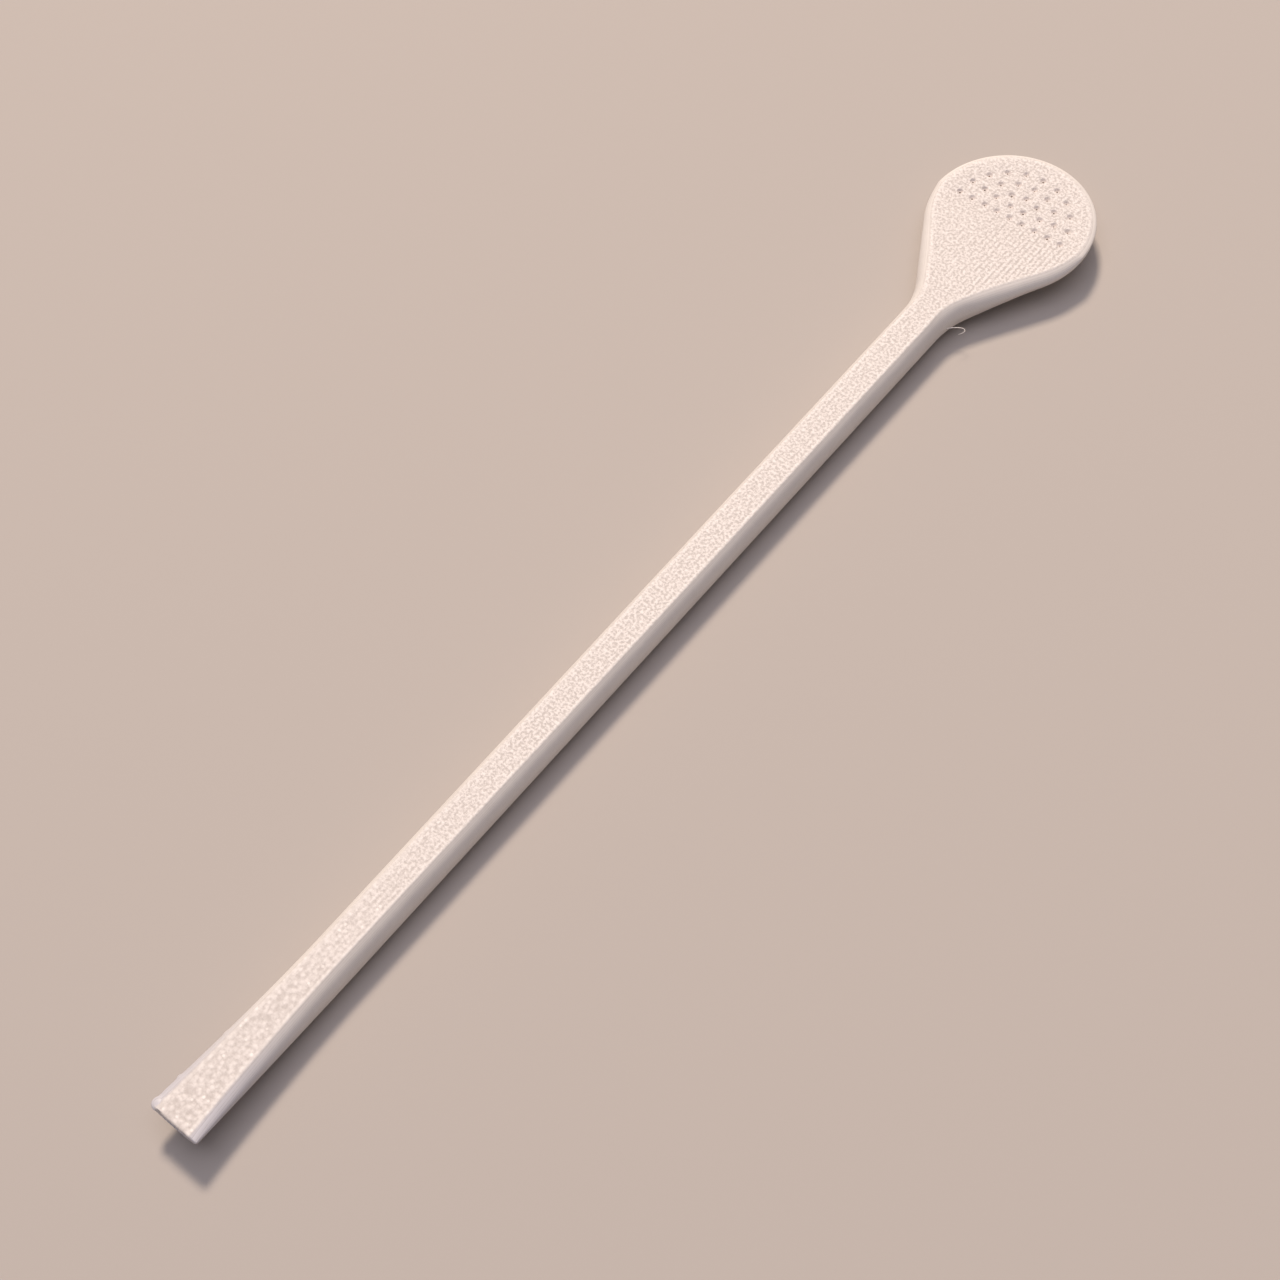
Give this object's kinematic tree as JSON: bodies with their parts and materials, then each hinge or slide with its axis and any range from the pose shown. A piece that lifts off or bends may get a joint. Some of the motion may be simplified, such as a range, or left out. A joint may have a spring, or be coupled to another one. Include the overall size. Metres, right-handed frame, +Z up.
{
  "type": "bombilla",
  "caption": "Straight mate drinking straw: a spoon-shaped hollow head with a perforated flat face, a tapering neck, a round stem with a flat along it and a flared drinking end.",
  "frame": {"origin": "on the resting surface, under the middle of the length and on the plane of symmetry", "axes": "+Y along the stem towards the strainer head, +Z up out of the flat face, +X across"},
  "size_m": [0.0244, 0.18, 0.0057],
  "materials": {
    "strainer_plastic": "matte, with the fine grain of a textured print bed",
    "body_plastic": "satin printed plastic, grained on the flat face and smooth on the round back"
  },
  "bodies": {
    "root": {"filter_plate": "strainer_plastic", "filter_bowl": "body_plastic", "neck": "body_plastic", "stem": "body_plastic", "mouthpiece": "body_plastic"}
  },
  "joints": []
}
